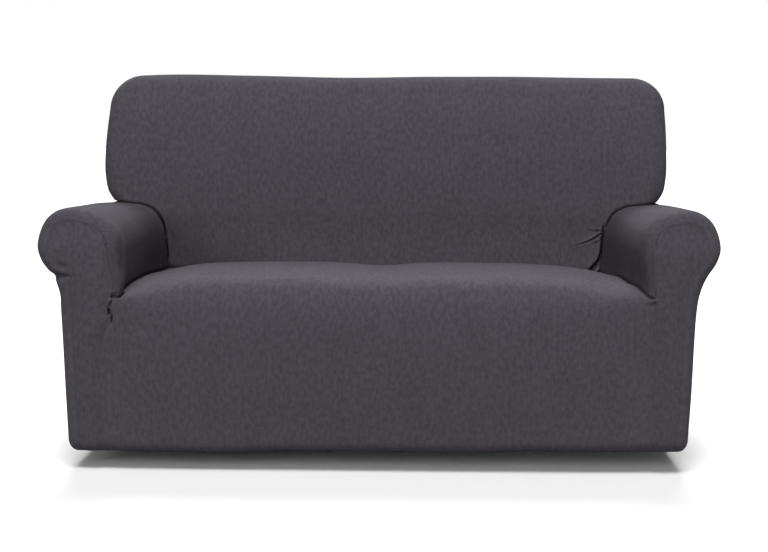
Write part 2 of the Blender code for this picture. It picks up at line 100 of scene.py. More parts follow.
# Section across the right arm, from the seat seam over the roll and down to the hem
armShape = {
    "section": (
        # place,          outward, height
        ("seat seam",      0.598,  0.436),
        ("inner side",     0.602,  0.500),
        ("inner turn",     0.609,  0.545),
        ("inner corner",   0.628,  0.583),
        ("inner top",      0.660,  0.601),
        ("back edge",      0.700,  0.606),
        ("ear side",       0.745,  0.609),
        ("shoulder",       0.783,  0.598),
        ("roll upper",     0.805,  0.575),
        ("roll side",      0.8135, 0.540),
        ("roll lower",     0.803,  0.505),
        ("under roll",     0.782,  0.473),
        ("neck",           0.768,  0.440),
        ("below neck",     0.760,  0.398),
        ("outer side",     0.7555, 0.320),
        ("lower side",     0.7515, 0.190),
        ("hem top",        0.7465, hem["top"]),
    ),
    "toeIn": 0.027,          # the inner side leans outward at the front
    "seamRise": 0.012,
    "seamFrontDip": 0.014,
    "seamDipReach": 0.030,
    "crestRise": 0.022,      # the top is higher at the front
    "crestPower": 0.65,
    "facingCrown": 0.005,
    "crownFadesFrom": 7 / 17,
}

backShape = {
    "top": 0.955,
    "halfWidth": 0.777,
    "rearAtFloor": 0.842,
    "rearAtTop": 0.866,
    "unevenFrom": 0.720,
    "topLean": 0.004,
    "originDepth": 0.760,
    "footDrawPower": 4,      # how fast the ear's side leaves the line of its foot
    "rearSideReach": 4,
    "face": (
        # place,     depth, height
        ("foot",     0.595, 0.436),
        ("lumbar",   0.592, 0.530),
        ("arm top",  0.590, 0.610),
        ("middle",   0.597, 0.720),
        ("upper",    0.612, 0.830),
        ("edge",     0.628, 0.910),
    ),
    "earSide": (
        # place,       outward, height
        ("foot",        0.745,  0.609),
        ("under curl",  0.760,  0.626),
        ("lower",       0.771,  0.650),
        ("widest",      0.777,  0.695),
        ("middle",      0.777,  0.740),
        ("upper",       0.774,  0.805),
        ("corner",      0.769,  0.867),
    ),
    "topUnevenness": (
        # place,         x,      rise
        ("left side",   -0.780,  0.001),
        ("left corner", -0.700,  0.004),
        ("left hump",   -0.560,  0.008),
        ("left slope",  -0.370,  0.005),
        ("dip",         -0.130,  0.000),
        ("right rise",   0.160,  0.003),
        ("right crest",  0.410,  0.003),
        ("right slope",  0.600,  0.000),
        ("right side",   0.780, -0.001),
    ),
}

# Middle of the seat, from the back forward and down the apron
seatShape = {
    "section": (
        # place,        depth,  height
        ("back seam",    0.595, 0.438),
        ("rear",         0.545, 0.455),
        ("rear crown",   0.430, 0.471),
        ("crown",        0.280, 0.477),
        ("front crown",  0.140, 0.475),
        ("front top",    0.070, 0.468),
        ("front turn",   0.018, 0.450),
        ("apron turn",  -0.010, 0.420),
        ("apron top",   -0.022, 0.378),
        ("apron",       -0.025, 0.300),
        ("apron lower", -0.020, 0.190),
        ("hem top",     -0.010, hem["top"]),
    ),
    "fallPower": 5,
    "dip": 0.007,            # where two people sit, with this much between them
    "dipReach": 0.085,
    "dipFade": 1.5,          # rows over which it ends on the apron
}


def clipped(value):
    return np.clip(value, 0.0, 1.0)


def quarter(share):
    return radians(90) * clipped(share)


def smooth(value):
    value = clipped(value)
    return value * value * (3 - 2 * value)


def between(start, end, share):
    return start + (end - start) * share


def pointAt(x, y, h):
    return np.stack(np.broadcast_arrays(x, y, h), axis=-1).astype(float)


def mirrored(points):
    return points * (-1, 1, 1)


class Section:
    # A smooth curve through the rows of a table, read by its share of length or by height

    def __init__(self, rows, steps=24):
        points = [np.array(row[1:]) for row in rows]
        points = [2 * points[0] - points[1]] + points + [2 * points[-1] - points[-2]]
        t = np.arange(steps)[:, None] / steps
        runs = []
        for a, b, c, d in zip(points, points[1:], points[2:], points[3:]):
            bend = 2 * a - 5 * b + 4 * c - d
            twist = 3 * b - a - 3 * c + d
            runs.append(0.5 * (2 * b + (c - a) * t + bend * t ** 2 + twist * t ** 3))
        self.curve = np.vstack(runs + [points[-2][None]])
        lengths = np.linalg.norm(np.diff(self.curve, axis=0), axis=1)
        self.length = lengths.sum()
        self.shares = np.concatenate(([0.0], np.cumsum(lengths))) / self.length
        self.named = {row[0]: self.shares[index * steps] for index, row in enumerate(rows)}

    def at(self, share):
        first = np.interp(share, self.shares, self.curve[:, 0])
        return first, np.interp(share, self.shares, self.curve[:, 1])

    def atHeight(self, height):
        return np.interp(height, self.curve[:, 1], self.curve[:, 0])

    def riseAt(self, x):
        return np.interp(x, self.curve[:, 0], self.curve[:, 1])

    def inward(self, share):
        # Unit direction to the right of the curve, into the stuffing
        reach = 0.004
        xBefore, hBefore = self.at(clipped(share - reach))
        xAfter, hAfter = self.at(clipped(share + reach))
        length = np.hypot(xAfter - xBefore, hAfter - hBefore)
        return (hAfter - hBefore) / length, (xBefore - xAfter) / length


armSection = Section(armShape["section"])
seatSection = Section(seatShape["section"])
backFace = Section(backShape["face"])
earSide = Section(backShape["earSide"])
topUnevenness = Section(backShape["topUnevenness"])

innerTurn = armSection.named["inner turn"]
innerCorner = armSection.named["inner corner"]
innerTop = armSection.named["inner top"]
backEdge = armSection.named["back edge"]
earFoot = armSection.named["ear side"]
shoulder = armSection.named["shoulder"]
rollSide = armSection.named["roll side"]
frontTop = seatSection.named["front top"]
apronTop = seatSection.named["apron top"]
topEdge = backShape["earSide"][-1][1] - roundedEdges["earCorner"]
centreShare = 0.80           # part of the upper back's foot that lies between the arms
topShare = 0.88              # part of the top that is straight
sideShare = 0.625            # part of the ear's edge that lies below its corner
originHeight = backShape["top"] + topUnevenness.riseAt(0.0) - cloth["thickness"]


def rearDepth(height):
    return between(backShape["rearAtFloor"], backShape["rearAtTop"], height / backShape["top"])


def edgeTurn(share, radius):
    # Round a quarter turn and a little onto the flat: the run, the inset and the angle
    rounded = roundedEdges["roundedShare"]
    angle = quarter(share / rounded)
    flat = roundedEdges["flatMargin"] * clipped((share - rounded) / (1 - rounded))
    return radius * np.sin(angle), radius * (1 - np.cos(angle)) + flat, angle


def inPart(points):
    # Adds the unevenness of the top, and moves the origin under the top of the back
    x, y, h = np.moveaxis(points, -1, 0)
    low = backShape["unevenFrom"]
    uneven = smooth((h - low) / (backShape["top"] - low))
    lean = backShape["topLean"] * (x / backShape["halfWidth"]) ** 2
    rise = uneven * topUnevenness.riseAt(x)
    return pointAt(x + uneven * lean, y - backShape["originDepth"], h + rise - originHeight)


# Arm. share runs along its section. station runs rearward: 0 is the seam on the front, 1 the
# end of the rounded front edge, 2 the back's face or the ear's corner, 3 the start of the
# rounded rear edge and 4 the seam on the rear.

def armTurn(station):
    frontInset, frontAngle = edgeTurn(1 - station, roundedEdges["armFront"])[1:]
    rearInset, rearAngle = edgeTurn(station - 3, roundedEdges["rear"])[1:]
    return frontInset + rearInset, frontAngle - rearAngle


def armEndDepth(share):
    # Depth at which the arm's cloth meets the back, which the ear's front corner rounds off
    beside = backFace.atHeight(armSection.at(np.minimum(share, backEdge))[1])
    roundEdge = clipped((share - backEdge) / (earFoot - backEdge))
    return beside + roundedEdges["backFace"] * (1 - np.sqrt(1 - roundEdge ** 2))


def armFrontReach(share):
    over = smooth((share - innerTurn) / (innerTop - innerTurn))
    return between(roundedEdges["armFrontInside"], roundedEdges["armFront"], over)


def armDepth(share, height, station):
    front = armFrontReach(share)
    end = armEndDepth(share)
    rearEdge = rearDepth(height) - roundedEdges["rear"]
    run, inset, angle = edgeTurn(1 - station, roundedEdges["armFront"])
    sine = np.sin(angle)
    depth = front - run - (front - roundedEdges["armFront"]) * sine * (1.5 - 0.5 * sine ** 2)
    depth = depth + (end - front) * clipped(station - 1)
    depth = depth + (rearEdge - end) * clipped(station - 2)
    return depth + edgeTurn(station - 3, roundedEdges["rear"])[0]


def armCloth(share, station):
    share, station = np.broadcast_arrays(share, station)
    x, h = armSection.at(share)
    inset = armTurn(station)[0]
    inwardX, inwardH = armSection.inward(share)
    level = smooth((h - hem["top"]) / hem["levelReach"])
    valley = clipped(1 - (share - earFoot) / (shoulder - earFoot))
    x = x - inset * valley ** 2 * (station > 3)
    y = armDepth(share, h + inset * inwardH * level, station)
    forward = clipped(1 - y / backFace.atHeight(h))
    lean = armShape["toeIn"] * forward * (1 - smooth(share / backEdge))
    rise = armShape["seamRise"] * np.sin(pi * forward)
    rise = rise - armShape["seamFrontDip"] * np.exp(-y / armShape["seamDipReach"])
    rising = smooth((share - innerCorner) / (backEdge - innerCorner))
    crest = rising * (1 - smooth((share - earFoot) / (rollSide - earFoot)))
    crest = armShape["crestRise"] * forward ** armShape["crestPower"] * crest
    h = h + inset * inwardH * level + rise * (1 - smooth(share / innerCorner)) + crest
    return pointAt(x + inset * inwardX + lean, y, h)


def hemPoint(top, inwardX, inwardY, tuck):
    angle = radians(90) * tuck
    tucked = hem["tuck"] * (1 - np.cos(angle))
    x, y = top[..., 0] + inwardX * tucked, top[..., 1] + inwardY * tucked
    return pointAt(x, y, hem["top"] - hem["drop"] * np.sin(angle))


def hemBelow(place, end, inwardY):
    # Hem along the lowest line of a panel, where its second measure ends
    return lambda a, tuck: hemPoint(place(a, np.full_like(a, end)), 0.0, inwardY, tuck)


def armHem(station, tuck):
    angle = armTurn(station)[1]
    return hemPoint(armCloth(1.0, station), -np.cos(angle), np.sin(angle), tuck)


# Seat. u runs from -1 at the left arm to 1 at the right one. row runs forward: 0 is the seam
# at the back, 1 the start of the rounded front, 2 the top of the apron and 3 its hem.

def seatSide(row):
    side = armCloth(0.0, np.clip(2 - row, 0.0, 2.0))
    side[..., 2] = between(side[..., 2], hem["top"], clipped(row - 2))
    return side


def seatStation(row):
    return np.interp(row, (0, 1, 2, 3), (0.0, frontTop, apronTop, 1.0))


def seatCloth(u, row):
    side = seatSide(row)
    depth, height = seatSection.at(seatStation(row))
    fall = np.abs(u) ** seatShape["fallPower"]
    x = u * side[..., 0]
    dip = seatShape["dip"] * np.exp(-(x / seatShape["dipReach"]) ** 2)
    height = height - dip * smooth(row) * (1 - smooth((row - 1) / seatShape["dipFade"]))
    return pointAt(x, between(depth, side[..., 1], fall), between(height, side[..., 2], fall))


# Back. up runs from 0 at the ear's foot to 1 at the middle of the corner, along from -1 to 1
# between the middles of both corners. course goes over the edge: 0 is the face's edge, 1 the
# outside, 2 the start of the rounded rear edge and 3 the seam on the rear.

def backOutset(course):
    outset = roundedEdges["backFace"] * np.sin(quarter(course))
    return outset - edgeTurn(course - 2, roundedEdges["rear"])[1]


def backDepth(edgeHeight, height, course):
    radius = roundedEdges["backFace"]
    depth = backFace.atHeight(edgeHeight)
    depth = depth + radius * (1 - np.cos(quarter(course)))
    rearEdge = rearDepth(height) - roundedEdges["rear"]
    depth = between(depth, rearEdge, clipped(course - 1))
    return depth + edgeTurn(course - 2, roundedEdges["rear"])[0]


def cornerPoint(angle, course):
    faceRadius = roundedEdges["earCorner"] - roundedEdges["backFace"]
    radius = faceRadius + backOutset(course)
    centreHeight = backShape["top"] - roundedEdges["earCorner"]
    h = centreHeight + radius * np.sin(angle)
    edgeHeight = centreHeight + faceRadius * np.sin(angle)
    return pointAt(topEdge + radius * np.cos(angle), backDepth(edgeHeight, h, course), h)


def earFootLine(course):
    share = between(backEdge, earFoot, np.sin(quarter(course)))
    return armCloth(share, np.where(course > 1, 1 + course, 2.0))


def earCloth(up, course):
    turned = clipped((up - sideShare) / (1 - sideShare))
    corner = cornerPoint(radians(45) * turned, course)
    x, h = earSide.at(clipped(up / sideShare))
    foot = earFootLine(course)
    footX, footH = earSide.at(0.0)
    outset = backOutset(course) - roundedEdges["backFace"]
    drawn = clipped(1 - up / sideShare) ** backShape["footDrawPower"]
    height = h + (foot[..., 2] - footH) * drawn
    edgeHeight = h + (earFootLine(np.zeros_like(course))[..., 2] - footH) * drawn
    x = x + outset + (foot[..., 0] - footX - outset) * drawn
    side = pointAt(x, backDepth(edgeHeight, height, course), height)
    return np.where((up > sideShare)[..., None], corner, side)


def topCloth(along, course):
    share = np.abs(along)
    turned = clipped((share - topShare) / (1 - topShare))
    corner = cornerPoint(radians(90) - radians(45) * turned, course)
    edgeHeight = backShape["top"] - roundedEdges["backFace"]
    h = edgeHeight + backOutset(course)
    x = topEdge * share / topShare
    straight = pointAt(x, backDepth(edgeHeight, h, course), h)
    points = np.where((share > topShare)[..., None], corner, straight)
    points[..., 0] *= np.sign(along + 1e-9)
    return points


def stretchedOver(left, right, bottom, top, u, v, reach=1):
    # Point of a sheet whose four edges are given. The shapes of the bottom and top edges die
    # away into the sheet, sooner with a higher power for their reach.
    zero, one = np.zeros_like(u), np.ones_like(u)
    u3, v3 = u[..., None], v[..., None]
    points = between(left(v), right(v), u3)
    points = points + (bottom(u) - between(left(zero), right(zero), u3)) * (1 - v3) ** reach
    return points + (top(u) - between(left(one), right(one), u3)) * v3 ** reach


def bothSides(right):
    return (lambda share: mirrored(right(share))), right


def besideEar(course):
    return bothSides(lambda share: earCloth(share, np.full_like(share, course)))


def lowerBack(u, v):
    crest = armCloth(innerCorner, 2.0)
    sides = bothSides(lambda share: armCloth(innerCorner * share, 2.0))

    def seatSeam(share):
        return seatCloth(2 * share - 1, np.zeros_like(share))

    def level(share):
        return pointAt(crest[0] * (2 * share - 1), *crest[1:])

    return stretchedOver(*sides, seatSeam, level, (u + 1) / 2, v)


def upperFoot(along):
    crest = armCloth(innerCorner, 2.0)
    share = np.abs(along)
    over = clipped((share - centreShare) / (1 - centreShare))
    beside = armCloth(between(innerCorner, backEdge, over), 2.0)
    middle = pointAt(crest[0] * share / centreShare, *crest[1:])
    points = np.where((share < centreShare)[..., None], middle, beside)
    points[..., 0] *= np.sign(along + 1e-9)
    return points


def upToTop(foot, course):
    # The sheet between both ears, from its foot to the top's edge
    def place(along, v):
        def top(share):
            return topCloth(2 * share - 1, np.full_like(share, course))

        return stretchedOver(*besideEar(course), foot, top, (along + 1) / 2, v)
    return place


upperBack = upToTop(lambda share: upperFoot(2 * share - 1), 0.0)


# Fronts of the arms

outerSpacing = 1.35          # rows are closer on the roll than on the flat side below it


def outerSide(v, station):
    return armCloth(between(shoulder, 1.0, (1 - v) ** outerSpacing), station)


def facingInner(v):
    stem = 6 / 11            # part of the height that stands beside the apron
    apron = seatSide(3.0 - clipped(v / stem))
    inner = armCloth(innerCorner * clipped((v - stem) / (1 - stem)), 0.0)
    return np.where((v < stem)[..., None], apron, inner)


def facingOuter(v):
    return outerSide(v, 0.0)


def facingTop(u):
    return armCloth(between(innerCorner, shoulder, u), 0.0)


def facingBottom(u):
    zero = np.zeros_like(u)
    return between(facingInner(zero), facingOuter(zero), u[..., None])


def facingCloth(u, v):
    points = stretchedOver(facingInner, facingOuter, facingBottom, facingTop, u, v)
    fading = 1 - smooth((v - armShape["crownFadesFrom"]) / (1 - armShape["crownFadesFrom"]))
    points[..., 1] -= armShape["facingCrown"] * np.sin(pi * u) ** 2 * fading
    return points


# Rear

def rearSide(v):
    return outerSide(v, 4.0)


def rearInner(v):
    # Line down the rear from the ear's foot, level with the seam beside it
    top = earFootLine(np.array(3.0))
    side = rearSide(v)[..., 2]
    rise = (side - hem["top"]) / (rearSide(1.0)[2] - hem["top"])
    height = between(hem["top"], top[2], rise)
    return pointAt(top[0], rearDepth(height), height)


def rearLobe(u, v):
    def bottom(share):
        return between(rearInner(0 * share), rearSide(0 * share), share[..., None])

    def top(share):
        return armCloth(between(earFoot, shoulder, share), 4.0)

    return stretchedOver(rearInner, rearSide, bottom, top, u, v, backShape["rearSideReach"])


def rearLower(along, v):
    right = rearInner(v)
    return between(mirrored(right), right, (along[..., None] + 1) / 2)


rearUpper = upToTop(lambda share: rearLower(2 * share - 1, np.ones_like(share)), 3.0)


# Where each point of a panel lies on the flat cloth, in metres. The knit follows it.

def uprightCut(a, b, points):
    return points[..., 0], points[..., 2]


def seatCut(u, row, points):
    return points[..., 0], seatSection.length * seatStation(row)


def uprightHemCut(a, tuck, points):
    return points[..., 0], hem["top"] - hem["flatLength"] * tuck


def seatHemCut(u, tuck, points):
    return points[..., 0], seatSection.length + hem["flatLength"] * tuck


armRuns = (0.048, 0.562, 0.232, 0.035)    # between the arm's stations
edgeRuns = (0.070, 0.165, 0.035)          # over the back's edge


def cutAlong(station, runs):
    return np.interp(station, range(len(runs) + 1), np.cumsum((0.0, *runs)))


def armCut(share, station, points):
    extra = (armFrontReach(share) - roundedEdges["armFront"]) * clipped(1 - station)
    return cutAlong(station, armRuns) - extra, armSection.length * share


def armHemCut(station, tuck, points):
    return cutAlong(station, armRuns), armSection.length + hem["flatLength"] * tuck


def overEdgeCut(place):
    # Fans out from the face's edge
    def cut(a, course, points):
        edge = place(a, np.zeros_like(course))
        out = place(a, np.ones_like(course)) - edge
        reach = np.hypot(out[..., 0], out[..., 2]) + 1e-9
        length = cutAlong(course, edgeRuns)
        x = edge[..., 0] + out[..., 0] / reach * length
        return x, edge[..., 2] + out[..., 2] / reach * length
    return cut


def spaced(start, end, length, seams="", pitch=None):
    # Steps from start to end over a real length, closer beside the seams at its ends
    near = np.array(cloth["nearSeam"])
    pitch = pitch or cloth["pitch"]
    stops = [near] if "start" in seams else [np.zeros(1)]
    far = length - near[::-1] if "end" in seams else np.array([length])
    count = max(2, round((far[0] - stops[0][-1]) / pitch))
    stops.append(np.linspace(stops[0][-1], far[0], count + 1)[1:-1])
    stops.append(far)
    return start + (end - start) * np.concatenate(stops) / length


def joined(*runs):
    return np.concatenate([runs[0]] + [run[1:] for run in runs[1:]])


def addPatch(sheet, place, cut, across, along):
    # A grid whose points are moved onto the cloth
    columns, rows = len(across) - 1, len(along) - 1
    a, b = np.meshgrid(np.asarray(across, float), np.asarray(along, float))
    points = place(a, b)
    cutX, cutY = np.broadcast_arrays(*cut(a, b, points))
    uvLayer = sheet.loops.layers.uv["cut"]
    made = bmesh.ops.create_grid(sheet, x_segments=columns, y_segments=rows, size=0.5,
                                 calc_uvs=True)
    for vert in made["verts"]:
        row = round((vert.co.y + 0.5) * rows)
        column = round((vert.co.x + 0.5) * columns)
        for loop in vert.link_loops:
            loop[uvLayer].uv = (cutX[row, column], cutY[row, column])
        vert.co = points[row, column]


def drawBackEdges(sheet, gap, under):
    # Each sheet ends half a seam's gap short of its seams
    inward = {}
    for edge in sheet.edges:
        if edge.is_boundary:
            face = edge.link_faces[0]
            start, end = edge.verts
            across = face.normal.cross(end.co - start.co).normalized()
            if across.dot(face.calc_center_median() - (start.co + end.co) / 2) < 0:
                across.negate()
            inward.setdefault(start, []).append(across)
            inward.setdefault(end, []).append(across)
    for vert, (first, second) in inward.items():
        vert.co += (first + second) * gap / 2 / (1 + first.dot(second)) - vert.normal * under


def faceOutward(sheet, inside):
    bmesh.ops.recalc_face_normals(sheet, faces=sheet.faces)
    away = 0.0
    for face in sheet.faces:
        away += face.calc_area() * face.normal.dot(face.calc_center_median() - inside)
    if away < 0:
        bmesh.ops.reverse_faces(sheet, faces=sheet.faces)


def buildSheet(patches, inside, gap, under):
    sheet = bmesh.new()
    sheet.loops.layers.uv.new("cut")
    for place, cut, across, along in patches:
        addPatch(sheet, place, cut, across, along)
    bmesh.ops.remove_doubles(sheet, verts=sheet.verts, dist=cloth["weld"])
    for vert, place in zip(sheet.verts, inPart(placesOf(sheet))):
        vert.co = place
    faceOutward(sheet, Vector(inPart(np.array(inside))))
    sheet.normal_update()
    drawBackEdges(sheet, gap, under)
    return sheet


def onLeft(place):
    return lambda a, b: mirrored(place(a, b))


hemSteps = np.linspace(0.0, 1.0, hem["steps"] + 1)
innerShares = spaced(0.0, innerCorner, 0.150, "start")
overShares = spaced(innerCorner, backEdge, 0.077)
footShares = between(backEdge, earFoot, np.sin(radians(90) * spaced(0.0, 1.0, 0.070, "end")))
shoulderShares = spaced(earFoot, shoulder, 0.042, "start")
outerShares = spaced(shoulder, 1.0, 0.590)
frontStations = joined(spaced(0.0, 1.0, armRuns[0], "start", cloth["edgePitch"]),
                       spaced(1.0, 2.0, armRuns[1], "end"))
rearStations = joined(spaced(2.0, 3.0, armRuns[2], "start"),
                      spaced(3.0, 4.0, armRuns[3], "end", cloth["edgePitch"]))
halfSeat = spaced(0.0, 1.0, 0.600, "end")
seatShares = joined(-halfSeat[::-1], halfSeat)
earShares = spaced(centreShare, 1.0, 0.077)
alongShares = joined(-earShares[::-1], centreShare * seatShares, earShares)


def seatPatches():
    rows = joined(spaced(0.0, 1.0, 0.550, "start"), spaced(1.0, 2.0, 0.135),
                  spaced(2.0, 3.0, 0.300))

    seatHem = hemBelow(seatCloth, 3.0, 1.0)
    return ((seatCloth, seatCut, seatShares, rows), (seatHem, seatHemCut, seatShares, hemSteps))


def armPatches():
    beside = joined(innerShares, overShares, footShares)
    outside = joined(shoulderShares, outerShares)
    stations = joined(frontStations, rearStations)
    return (
        (armCloth, armCut, beside, frontStations),
        (armCloth, armCut, outside, stations),
        (armHem, armHemCut, stations, hemSteps),
    )


def facingPatches():
    across = spaced(0.0, 1.0, 0.125, "startend")
    upward = spaced(0.0, 1.0, 0.530, "end")

    return (
        (facingCloth, uprightCut, across, upward),
        (hemBelow(facingCloth, 0.0, 1.0), uprightHemCut, across, hemSteps),
    )


def backPatches():
    upward = joined(spaced(0.0, sideShare, 0.260, "start"), spaced(sideShare, 1.0, 0.069))
    courses = joined(spaced(0.0, 1.0, edgeRuns[0]), spaced(1.0, 2.0, edgeRuns[1]),
                     spaced(2.0, 3.0, edgeRuns[2], "end", cloth["edgePitch"]))
    lower = spaced(0.0, 1.0, 0.150, "start")
    return (
        (lowerBack, uprightCut, seatShares, lower),
        (upperBack, uprightCut, alongShares, upward),
        (earCloth, overEdgeCut(earCloth), upward, courses),
        (onLeft(earCloth), overEdgeCut(onLeft(earCloth)), upward, courses),
        (topCloth, overEdgeCut(topCloth), alongShares, courses),
    )


def rearPatches():
    across = spaced(0.0, 1.0, 0.050, "end")
    lower = spaced(0.0, 1.0, 0.500)
    upper = joined(spaced(0.0, sideShare, 0.260, "start"), spaced(sideShare, 1.0, 0.069, "end"))

    lobeHem = hemBelow(rearLobe, 0.0, -1.0)
    patches = [
        (rearLower, uprightCut, alongShares, lower),
        (rearUpper, uprightCut, alongShares, upper),
        (hemBelow(rearLower, 0.0, -1.0), uprightHemCut, alongShares, hemSteps),
    ]
    for lobe, lobeEdge in ((rearLobe, lobeHem), (onLeft(rearLobe), onLeft(lobeHem))):
        patches.append((lobe, uprightCut, across, lower))
        patches.append((lobeEdge, uprightHemCut, across, hemSteps))
    return patches


def lineThrough(places, steps):
    # Evenly read points of a smooth line through places in millimetres
    rows = [("", *(np.array(place) / 1000)) for place in places]
    return inPart(Section(rows, steps).curve)


def gapTo(line, spots):
    # Distance from each spot to a line's nearest point, and how far along the line that is
    distance = np.linalg.norm(spots[:, None, :] - line[None, :, :], axis=2)
    return distance.min(axis=1), distance.argmin(axis=1) / (len(line) - 1)


def placesOf(sheet):
    return np.array([vert.co[:] for vert in sheet.verts])


def nearLine(spots, line, reach):
    return np.flatnonzero(np.all((spots > line.min(axis=0) - reach)
                                 & (spots < line.max(axis=0) + reach), axis=1))


def nudgeSheet(sheet):
    sheet.verts.ensure_lookup_table()
    spots = placesOf(sheet)
    for reach, move, places in nudges:
        reach, move = reach / 1000, Vector(move) / 1000
        line = lineThrough(places, 12)
        near = nearLine(spots, line, 2.5 * reach)
        if len(near):
            distance = gapTo(line, spots[near])[0]
            for index, part in zip(near, np.exp(-(distance / reach) ** 2)):
                sheet.verts[index].co += move * part


def layOnCloth(line, trees, opens):
    # Moves a line's points onto the nearest cloth, and gives each the direction that the
    # sheets there share, so that a crease beside a seam moves both of them together. A deep
    # crease may say which way it opens.
    laid, outward = [], []
    for spot in line:
        hits = [tree.find_nearest(Vector(spot)) for tree in trees]
        place = min(hits, key=lambda hit: hit[3])[0]
        shared = Vector(opens)
        for where, direction, index, gap in hits:
            if not any(opens) and (where - place).length < creasing["besideReach"]:
                shared += direction
        laid.append(place)
        outward.append(shared.normalized())
    return np.array(laid), np.array(outward)


def refineNear(sheet, line, width):
    # Splits the edges close to a crease until they are fine enough to hold it
    for turn in range(creasing["splits"]):
        sheet.verts.ensure_lookup_table()
        near = nearLine(placesOf(sheet), line, creasing["moveReach"] * width)
        edges = dict.fromkeys(edge for index in near for edge in sheet.verts[index].link_edges)
        edges = [edge for edge in edges if edge.calc_length() > creasing["finestEdge"] * width]
        if not edges:
            return
        middles = np.array([(edge.verts[0].co + edge.verts[1].co) / 2 for edge in edges])
        distance = gapTo(line, middles)[0]
        edges = [edge for edge, gap in zip(edges, distance)
                 if gap < creasing["splitReach"] * width + edge.calc_length() / 2]
        bmesh.ops.subdivide_edges(sheet, edges=edges, cuts=1, use_grid_fill=True, smooth=1.0,
                                  smooth_falloff="LINEAR", use_smooth_even=True)


def creaseMoves(spots, line, outward, fold):
    # A soft trough, or a ridge where its depth is negative, with low lips on both sides
    startWidth, endWidth = fold["widths"]
    moves = np.zeros_like(spots)
    near = nearLine(spots, line, creasing["moveReach"] * max(startWidth, endWidth))
    if not len(near):
        return moves
    distance, along = gapTo(line, spots[near])
    spread = distance / between(startWidth, endWidth, along)
    lip = (spread - creasing["lipAt"]) / creasing["lipWidth"]
    shape = np.exp(-spread ** 2) - fold["lips"] * np.exp(-lip ** 2)
    startFade, endFade = fold["fades"]
    shape = shape * smooth(along / startFade) * smooth((1 - along) / endFade)
    nearest = np.round(along * (len(line) - 1)).astype(int)
    moves[near] = outward[nearest] * (-fold["depth"] * shape)[:, None]
    return moves


def shapeSheet(sheet, lines):
    # Moves the points by the creases, the hem's gathers and a slight unevenness, which is the
    # same for all sheets, so their seams stay closed
    sheet.verts.index_update()
    sheet.normal_update()
    spots = placesOf(sheet)
    moves = np.zeros_like(spots)
    for (line, outward), fold in zip(lines, creases):
        moves += creaseMoves(spots, line, outward, fold)
    gatherLevel = hem["top"] - hem["gatherShare"] * hem["drop"] - originHeight
    for vert, move in zip(sheet.verts, moves):
        uneven = noise.noise_vector(vert.co * cloth["wavesPerMetre"]) * cloth["waviness"]
        gather = np.exp(-(max(vert.co.z - gatherLevel, 0.0) / hem["gatherReach"]) ** 2)
        if gather > 0.01:
            wave = noise.noise(Vector((vert.co.x, vert.co.y, 0.0)) * (1 / hem["gatherPitch"]))
            uneven += vert.normal * hem["gatherDepth"] * gather * wave
        vert.co += Vector(move) + uneven


# How far each seam draws the cloth in, over what width, and how much of that is rearward
seams = (
    # a piece,      another piece,    depth,  width,  rearward
    ("back",        "arm",            0.0105, 0.0040, 1.2),
    ("back",        "seat",           0.0022, 0.0040, 0.0),
    ("back",        "rear",           0.0016, 0.0026, 0.0),
    ("seat",        "arm",            0.0038, 0.0036, 0.0),
    ("seat",        "facing",         0.0006, 0.0020, 0.0),
    ("arm",         "rear",           0.0016, 0.0026, 0.0),
)


unsewn = [0.0, cloth["nearSeam"][2], 0.0]


def seamBetween(name, other):
    for first, second, *draw in seams:
        if name.startswith(first) and other.startswith(second):
            return draw
        if name.startswith(second) and other.startswith(first):
            return draw
    return unsewn


def seamPoints(sheet):
    # Points along the edges that are sewn, closely spaced, each with the cloth's direction
    hemLevel = hem["top"] - hem["drop"] - originHeight + cloth["hemMargin"]
    spots = []
    for edge in sheet.edges:
        start, end = edge.verts
        if edge.is_boundary and max(start.co.z, end.co.z) > hemLevel:
            count = max(1, round(edge.calc_length() / cloth["seamStep"]))
            for step in range(count + 1):
                share = step / count
                spots.append((start.co.lerp(end.co, share), start.normal.lerp(end.normal, share)))
    return spots


def treeOf(spots):
    tree = kdtree.KDTree(len(spots))
    for index, (place, direction) in enumerate(spots):
        tree.insert(place, index)
    tree.balance()
    return tree


def drawInSeams(sheets):
    # Neighbouring sheets are drawn in together, so their seam stays closed
    spots = {name: seamPoints(sheet) for name, sheet in sheets.items()}
    trees = {name: treeOf(spots[name]) for name in sheets}
    reach = cloth["nearSeam"][-1] + 3 * cloth["allowanceWidth"]
    for name, sheet in sheets.items():
        drawn = []
        for place, direction in spots[name]:
            direction = direction.copy()
            draws = [unsewn]
            for other in sheets:
                if other != name:
                    where, beside, gap = trees[other].find(place)
                    if gap < cloth["seamStep"]:
                        direction += spots[other][beside][1]
                        draws.append(seamBetween(name, other))
            depth, width, rearward = max(draws)
            direction = direction.normalized() + Vector((0.0, -rearward, 0.0))
            drawn.append((direction.normalized(), depth, width))
        measures = np.array([spot[1:] for spot in drawn])
        moves = []
        for vert in sheet.verts:
            place, index, distance = trees[name].find(vert.co)
            if distance > reach:
                continue
            around = [spot[1] for spot in trees[name].find_range(place, cloth["seamBlend"])]
            depth, width = measures[around].mean(axis=0)
            inward = depth * np.exp(-(distance / width) ** 2)
            bump = (distance - cloth["allowanceAt"]) / cloth["allowanceWidth"]
            inward -= cloth["allowanceRise"] * depth * np.exp(-bump ** 2)
            own = min(distance / cloth["nearSeam"][-1], 1.0)
            direction = drawn[index][0].lerp(vert.normal, own).normalized()
            moves.append((vert, direction * -inward))
        for vert, move in moves:
            vert.co += move


